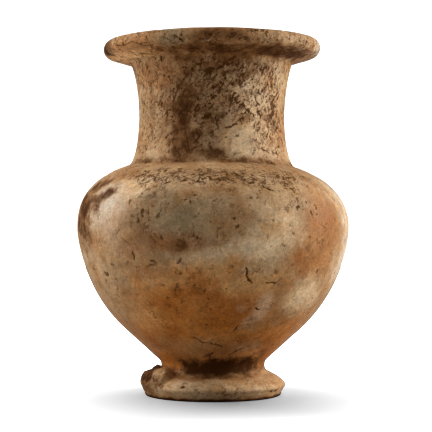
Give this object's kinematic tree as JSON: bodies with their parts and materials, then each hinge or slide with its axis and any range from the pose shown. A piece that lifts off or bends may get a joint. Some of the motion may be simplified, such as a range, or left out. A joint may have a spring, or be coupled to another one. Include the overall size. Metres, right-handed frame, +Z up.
{
  "type": "ancient alabaster vase",
  "caption": "Hollow carved stone vase with a wide flat rim, a tall neck, a full body tapering to a cone, and a low spreading foot that is broken on one side.",
  "frame": {"origin": "centre of the underside of the foot, on the surface that the vase stands on", "axes": "+Z up along the vase's axis; -Y towards the viewer of the pictured side; the foot's broken side faces -X"},
  "size_m": [0.154, 0.154, 0.2005],
  "materials": {
    "alabaster": "smooth carved stone, weathered and stained, with a dull sheen"
  },
  "bodies": {
    "root": {"vase": "alabaster"}
  },
  "joints": []
}
